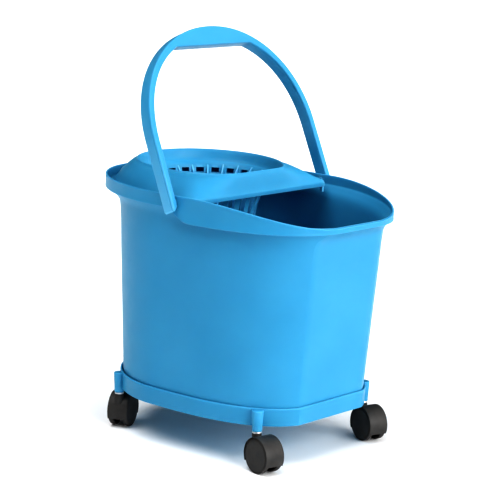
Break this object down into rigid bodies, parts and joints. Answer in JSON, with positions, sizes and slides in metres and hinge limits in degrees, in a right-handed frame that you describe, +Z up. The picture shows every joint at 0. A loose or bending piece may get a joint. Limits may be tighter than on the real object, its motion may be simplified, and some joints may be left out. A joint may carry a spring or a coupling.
{
  "type": "mop bucket with wringer",
  "caption": "Oval plastic mop bucket with a flat pouring end, drop-in slotted basket wringer, swinging arched handle and a separate wheel base on swivelling twin-wheel casters.",
  "frame": {"origin": "floor under the middle of the assembly's bounding box", "axes": "+Z up, +X towards the flat pouring end, +Y to the right side seen from the wringer end"},
  "size_m": [0.3616, 0.2802, 0.4764],
  "materials": {
    "blue_plastic": "satin moulded polypropylene, sky blue",
    "black_plastic": "fine-textured moulded nylon, near black",
    "steel": "bright zinc-plated steel"
  },
  "bodies": {
    "base": {"wheel_base": "blue_plastic", "stem_front_left": "steel", "collar_front_left": "steel", "stem_front_right": "steel", "collar_front_right": "steel", "stem_back_left": "steel", "collar_back_left": "steel", "stem_back_right": "steel", "collar_back_right": "steel"},
    "bucket": {"bucket": "blue_plastic"},
    "wringer": {"wringer": "blue_plastic"},
    "handle": {"handle": "blue_plastic"},
    "swivel_front_left": {"housing_front_left": "black_plastic", "axle_front_left": "steel"},
    "wheel_front_left_a": {"wheel_front_left_a": "black_plastic"},
    "wheel_front_left_b": {"wheel_front_left_b": "black_plastic"},
    "swivel_front_right": {"housing_front_right": "black_plastic", "axle_front_right": "steel"},
    "wheel_front_right_a": {"wheel_front_right_a": "black_plastic"},
    "wheel_front_right_b": {"wheel_front_right_b": "black_plastic"},
    "swivel_back_left": {"housing_back_left": "black_plastic", "axle_back_left": "steel"},
    "wheel_back_left_a": {"wheel_back_left_a": "black_plastic"},
    "wheel_back_left_b": {"wheel_back_left_b": "black_plastic"},
    "swivel_back_right": {"housing_back_right": "black_plastic", "axle_back_right": "steel"},
    "wheel_back_right_a": {"wheel_back_right_a": "black_plastic"},
    "wheel_back_right_b": {"wheel_back_right_b": "black_plastic"}
  },
  "joints": [
    {"name": "bucket_lift", "type": "slide", "parent": "base", "child": "bucket", "axis": [0, 0, 1], "range_m": [0, 0.06]},
    {"name": "wringer_lift", "type": "slide", "parent": "bucket", "child": "wringer", "axis": [0, 0, 1], "range_m": [0, 0.09]},
    {"name": "handle_swing", "type": "hinge", "parent": "bucket", "child": "handle", "pos_m": [0.0168, 0, 0.291], "axis": [0, 1, 0], "range_deg": [-58, 120]},
    {"name": "swivel_front_left_turn", "type": "hinge", "parent": "base", "child": "swivel_front_left", "pos_m": [0.123, -0.0956, 0.04], "axis": [0, 0, 1], "continuous": true},
    {"name": "wheel_front_left_a_roll", "type": "hinge", "parent": "swivel_front_left", "child": "wheel_front_left_a", "pos_m": [0.1369, -0.09848, 0.02], "axis": [0.2028, 0.9792, 0], "continuous": true},
    {"name": "wheel_front_left_b_roll", "type": "hinge", "parent": "swivel_front_left", "child": "wheel_front_left_b", "pos_m": [0.1369, -0.09848, 0.02], "axis": [0.2028, 0.9792, 0], "continuous": true},
    {"name": "swivel_front_right_turn", "type": "hinge", "parent": "base", "child": "swivel_front_right", "pos_m": [0.123, 0.0956, 0.04], "axis": [0, 0, 1], "continuous": true},
    {"name": "wheel_front_right_a_roll", "type": "hinge", "parent": "swivel_front_right", "child": "wheel_front_right_a", "pos_m": [0.13655, 0.09135, 0.02], "axis": [0.299, 0.9542, 0], "continuous": true},
    {"name": "wheel_front_right_b_roll", "type": "hinge", "parent": "swivel_front_right", "child": "wheel_front_right_b", "pos_m": [0.13655, 0.09135, 0.02], "axis": [0.299, 0.9542, 0], "continuous": true},
    {"name": "swivel_back_left_turn", "type": "hinge", "parent": "base", "child": "swivel_back_left", "pos_m": [-0.0938, -0.0956, 0.04], "axis": [0, 0, 1], "continuous": true},
    {"name": "wheel_back_left_a_roll", "type": "hinge", "parent": "swivel_back_left", "child": "wheel_back_left_a", "pos_m": [-0.09971, -0.08269, 0.02], "axis": [-0.9092, -0.4163, 0], "continuous": true},
    {"name": "wheel_back_left_b_roll", "type": "hinge", "parent": "swivel_back_left", "child": "wheel_back_left_b", "pos_m": [-0.09971, -0.08269, 0.02], "axis": [-0.9092, -0.4163, 0], "continuous": true},
    {"name": "swivel_back_right_turn", "type": "hinge", "parent": "base", "child": "swivel_back_right", "pos_m": [-0.0938, 0.0956, 0.04], "axis": [0, 0, 1], "continuous": true},
    {"name": "wheel_back_right_a_roll", "type": "hinge", "parent": "swivel_back_right", "child": "wheel_back_right_a", "pos_m": [-0.10634, 0.10227, 0.02], "axis": [-0.4695, -0.8829, 0], "continuous": true},
    {"name": "wheel_back_right_b_roll", "type": "hinge", "parent": "swivel_back_right", "child": "wheel_back_right_b", "pos_m": [-0.10634, 0.10227, 0.02], "axis": [-0.4695, -0.8829, 0], "continuous": true}
  ]
}
